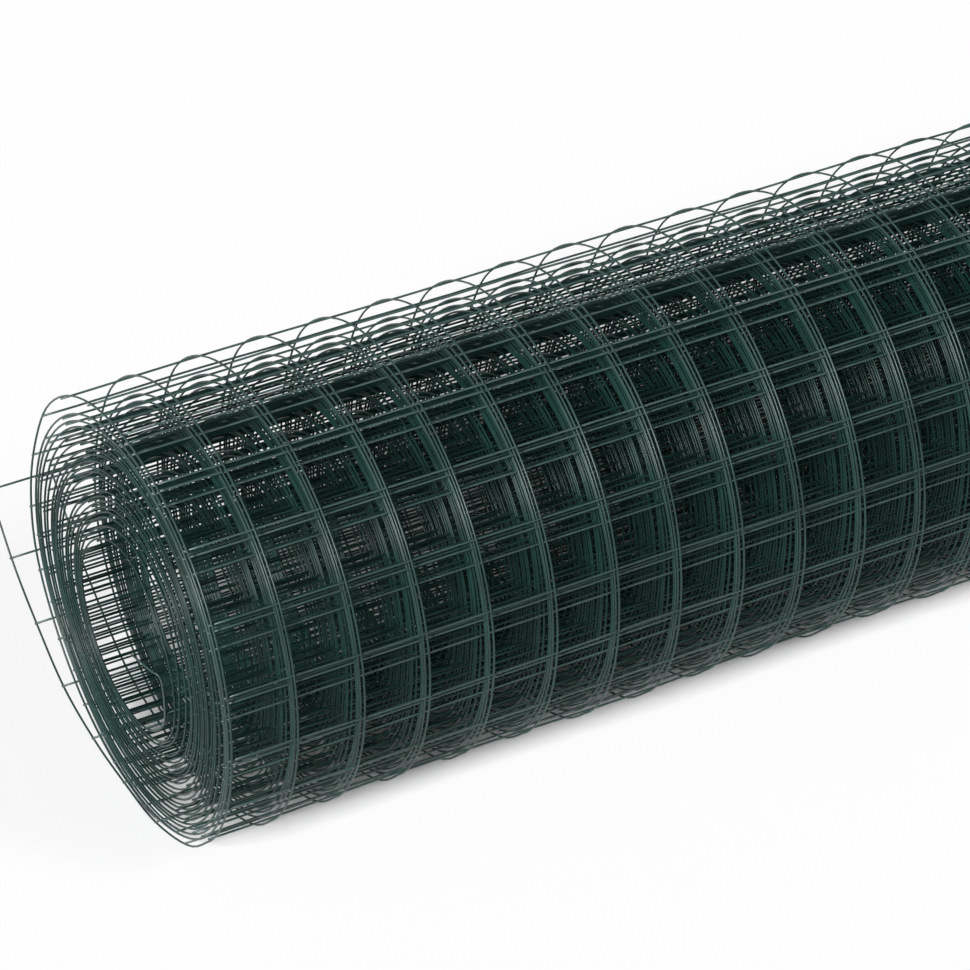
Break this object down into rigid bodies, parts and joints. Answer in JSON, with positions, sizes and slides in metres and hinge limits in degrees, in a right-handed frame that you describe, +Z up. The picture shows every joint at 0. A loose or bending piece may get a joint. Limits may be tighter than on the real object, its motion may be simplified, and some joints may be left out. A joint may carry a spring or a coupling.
{
  "type": "roll of wire fencing",
  "caption": "Roll of plastic-coated welded-mesh fencing lying on its side, with a hollow core, spiral turns, a sprung outer turn and a free tail.",
  "frame": {"origin": "on the floor, under the middle of the whole outline, tail included", "axes": "+X along the roll, +Y towards the back where the tail runs out, +Z up"},
  "size_m": [0.6116, 0.204, 0.1623],
  "materials": {
    "green_coating": "satin dark green plastic coating on steel wire"
  },
  "bodies": {
    "root": {"mesh_roll": "green_coating"}
  },
  "joints": []
}
